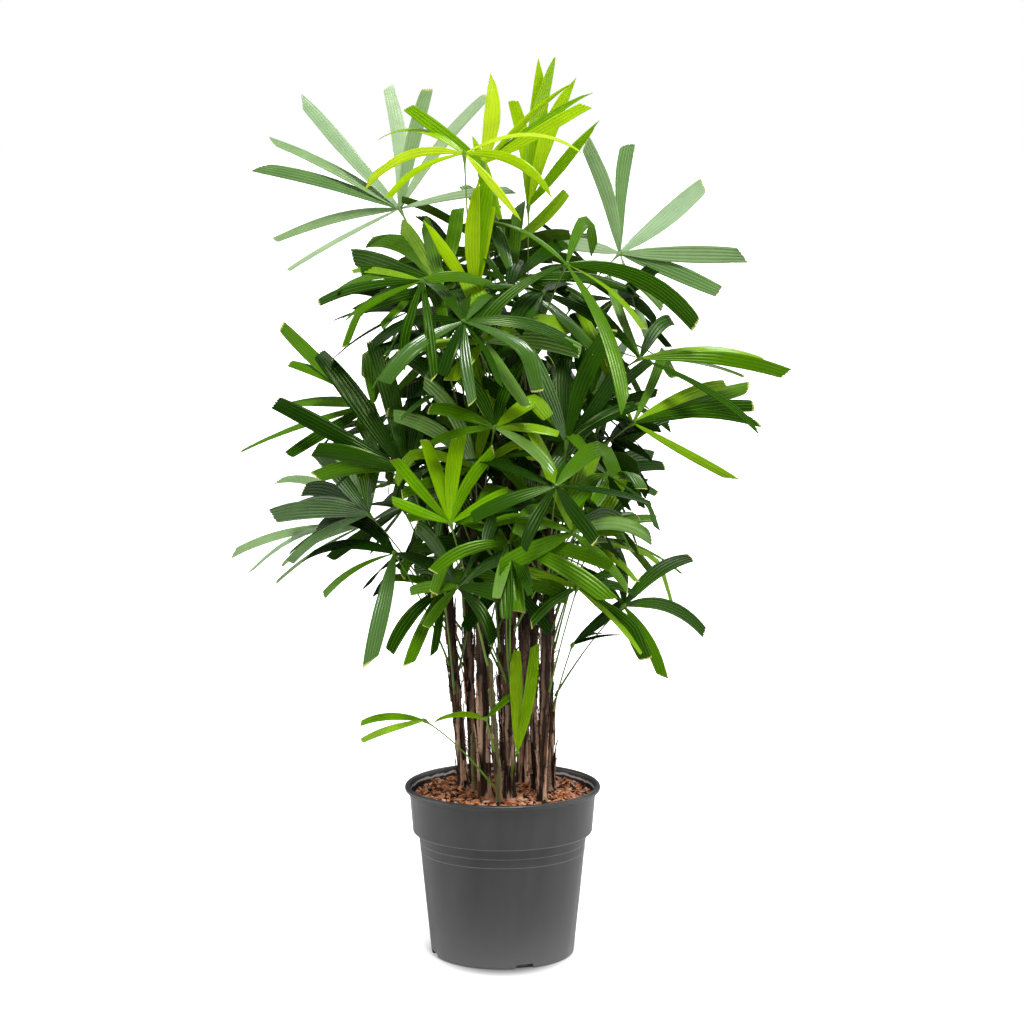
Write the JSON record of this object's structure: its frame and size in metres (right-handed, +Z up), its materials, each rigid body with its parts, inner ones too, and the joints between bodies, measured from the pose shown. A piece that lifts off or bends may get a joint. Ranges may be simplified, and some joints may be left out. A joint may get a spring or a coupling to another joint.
{
  "type": "potted lady palm",
  "caption": "Clump-forming lady palm with slender fibrous canes and palmate fronds, in a round tapered nursery pot filled with bark chips.",
  "frame": {"origin": "centre of the flat underside of the pot", "axes": "+Z up, -Y towards the front of the plant as pictured, +X to its right as seen from the front"},
  "size_m": [0.7621, 0.5656, 1.2352],
  "materials": {
    "pot_plastic": "satin",
    "bark_chips": "matte",
    "cane_sheath": "matte",
    "leaf_dusty": "satin",
    "leaf_lime": "satin",
    "leaf_mid": "satin",
    "leaf_dark": "satin",
    "leaf_young": "satin"
  },
  "bodies": {
    "root": {"bark_substrate": "bark_chips", "cane_back_left": "cane_sheath", "cane_back_right": "cane_sheath", "cane_front": "cane_sheath", "cane_front_left": "cane_sheath", "cane_left": "cane_sheath", "cane_right": "cane_sheath", "cane_right_back": "cane_sheath", "cane_right_slim": "cane_sheath", "cane_slim": "cane_sheath", "cane_stub": "cane_sheath", "cane_tall": "cane_sheath", "cane_young": "cane_sheath", "frond_back_crown": "leaf_mid", "frond_back_high_left": "leaf_dark", "frond_back_high_right": "leaf_mid", "frond_back_left": "leaf_mid", "frond_back_low": "leaf_mid", "frond_back_low_left": "leaf_dark", "frond_back_low_right": "leaf_mid", "frond_back_middle": "leaf_dusty", "frond_back_right": "leaf_dark", "frond_back_skirt": "leaf_mid", "frond_back_upper": "leaf_dark", "frond_centre_crown": "leaf_dark", "frond_centre_leaf": "leaf_dark", "frond_centre_low": "leaf_mid", "frond_centre_right": "leaf_dark", "frond_crown_heart": "leaf_dark", "frond_grey_right": "leaf_dusty", "frond_grey_top": "leaf_dusty", "frond_inner_fan": "leaf_mid", "frond_left_fall": "leaf_dark", "frond_left_hand": "leaf_mid", "frond_left_inner": "leaf_dark", "frond_left_low": "leaf_dark", "frond_left_low_back": "leaf_dusty", "frond_left_shoulder": "leaf_mid", "frond_left_sweep": "leaf_mid", "frond_lime_arch": "leaf_lime", "frond_lime_crest": "leaf_lime", "frond_lime_upright": "leaf_lime", "frond_low_leaf": "leaf_dark", "frond_low_tuft": "leaf_mid", "frond_low_upright": "leaf_young", "frond_middle_left": "leaf_mid", "frond_right_back": "leaf_dark", "frond_right_blade": "leaf_mid", "frond_right_crown": "leaf_mid", "frond_right_hand": "leaf_mid", "frond_right_inner": "leaf_dark", "frond_right_long": "leaf_mid", "frond_right_low": "leaf_mid", "frond_right_thin": "leaf_mid", "frond_right_tuft": "leaf_mid", "frond_spear": "leaf_lime", "frond_stub_leaf": "leaf_young", "frond_sucker": "leaf_young", "frond_sucker_left": "leaf_young", "pot": "pot_plastic"}
  },
  "joints": []
}
